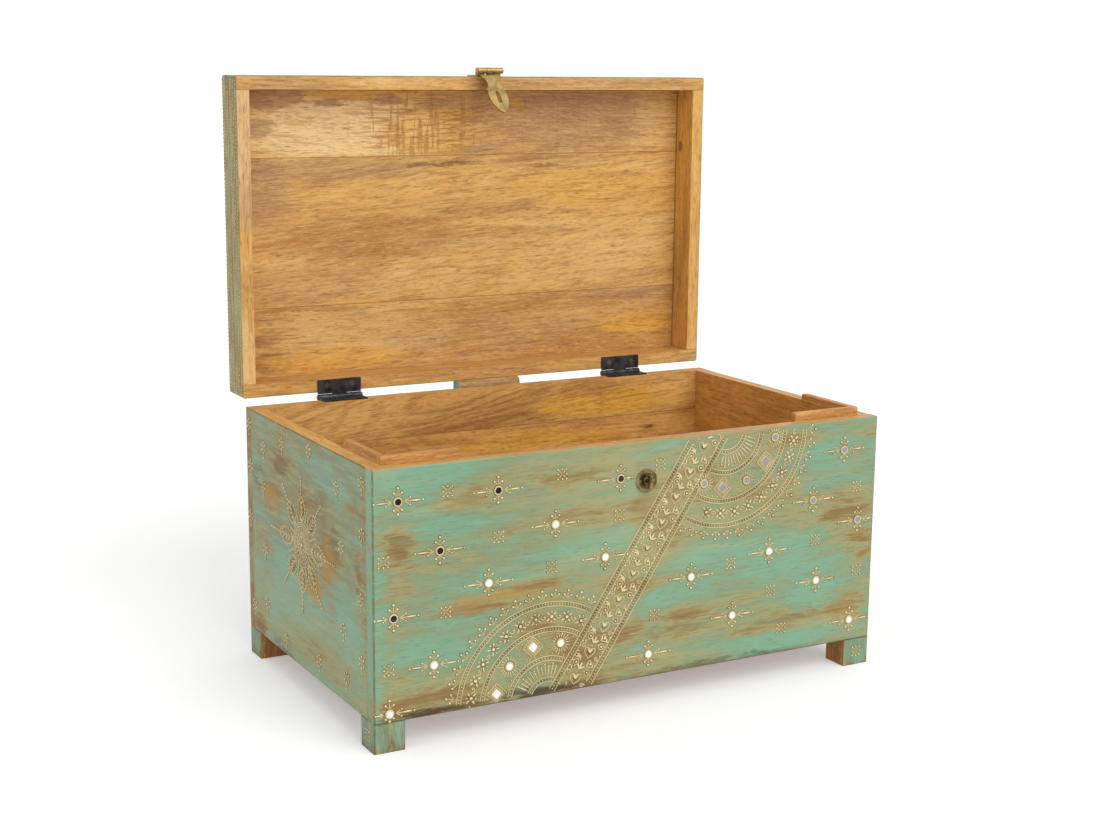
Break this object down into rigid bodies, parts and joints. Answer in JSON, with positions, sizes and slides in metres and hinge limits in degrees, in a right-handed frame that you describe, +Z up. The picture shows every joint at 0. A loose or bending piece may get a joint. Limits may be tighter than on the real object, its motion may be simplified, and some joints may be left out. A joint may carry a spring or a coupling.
{
  "type": "lift-lid storage chest",
  "caption": "Painted wooden storage chest on block feet, with a lift lid on butt hinges, a stop block, and a hasp that closes over a turn catch; front set with raised lines and mirror pieces.",
  "frame": {"origin": "on the floor under the middle of the whole part's box, lid open", "axes": "+X to the right along the front, +Y to the back, +Z up"},
  "size_m": [0.8, 0.5566, 0.8697],
  "materials": {
    "painted_wood": "rubbed sea-green paint outside, bare oiled wood inside",
    "bare_wood": "oiled, satin",
    "black_steel": "black, semi-gloss",
    "brass": "aged, satin",
    "bronze": "dark patina",
    "steel": "zinc plated",
    "mirror": "polished"
  },
  "bodies": {
    "chest": {"front_panel": "painted_wood", "back_board_lower": "painted_wood", "back_board_upper": "painted_wood", "left_panel": "painted_wood", "right_panel": "painted_wood", "bottom_panel": "bare_wood", "foot_front_left": "painted_wood", "foot_front_right": "painted_wood", "foot_back_left": "painted_wood", "foot_back_right": "painted_wood", "lid_guide_front_left": "bare_wood", "lid_guide_front_right": "bare_wood", "lid_guide_side_left": "bare_wood", "lid_guide_side_right": "bare_wood", "lid_stop_block": "painted_wood", "lid_stop_screws": "steel", "hinge_lower_leaf_left": "black_steel", "hinge_lower_leaf_right": "black_steel", "hinge_pin_left": "black_steel", "hinge_pin_right": "black_steel", "lower_hinge_screws": "black_steel", "catch_rosette": "bronze", "catch_screws": "bronze", "corner_dowels": "bare_wood", "foot_screws": "steel", "round_mirrors": "mirror", "diamond_mirrors": "mirror"},
    "lid": {"lid_front_rail": "painted_wood", "lid_back_rail": "painted_wood", "lid_left_rail": "painted_wood", "lid_right_rail": "painted_wood", "lid_board_front": "painted_wood", "lid_board_middle": "painted_wood", "lid_board_back": "painted_wood", "hinge_upper_leaf_left": "black_steel", "hinge_upper_leaf_right": "black_steel", "upper_hinge_screws": "black_steel", "hasp_plate": "brass", "hasp_plate_screws": "brass", "lid_corner_dowels": "bare_wood"},
    "hasp_pin": {"hasp_pin": "brass"},
    "hasp_leaf": {"hasp_leaf": "brass"},
    "catch_turn": {"catch_turn": "bronze"}
  },
  "joints": [
    {"name": "lid_hinge", "type": "hinge", "parent": "chest", "child": "lid", "pos_m": [0, 0.21385, 0.3784], "axis": [1, 0, 0], "range_deg": [0, 90.5]},
    {"name": "hasp_hang", "type": "hinge", "parent": "lid", "child": "hasp_pin", "pos_m": [0.004, 0.21075, 0.8651], "axis": [1, 0, 0], "range_deg": [-90.5, 0]},
    {"name": "hasp_lift", "type": "hinge", "parent": "hasp_pin", "child": "hasp_leaf", "pos_m": [0.004, 0.21075, 0.8651], "axis": [-1, 0, 0], "range_deg": [-41, 110]},
    {"name": "catch_twist", "type": "hinge", "parent": "chest", "child": "catch_turn", "pos_m": [0.004, -0.26385, 0.321], "axis": [0, -1, 0], "range_deg": [0, 90]}
  ],
  "couplings": [
    {"joint": "hasp_hang", "follows": "lid_hinge", "ratio": -1}
  ]
}
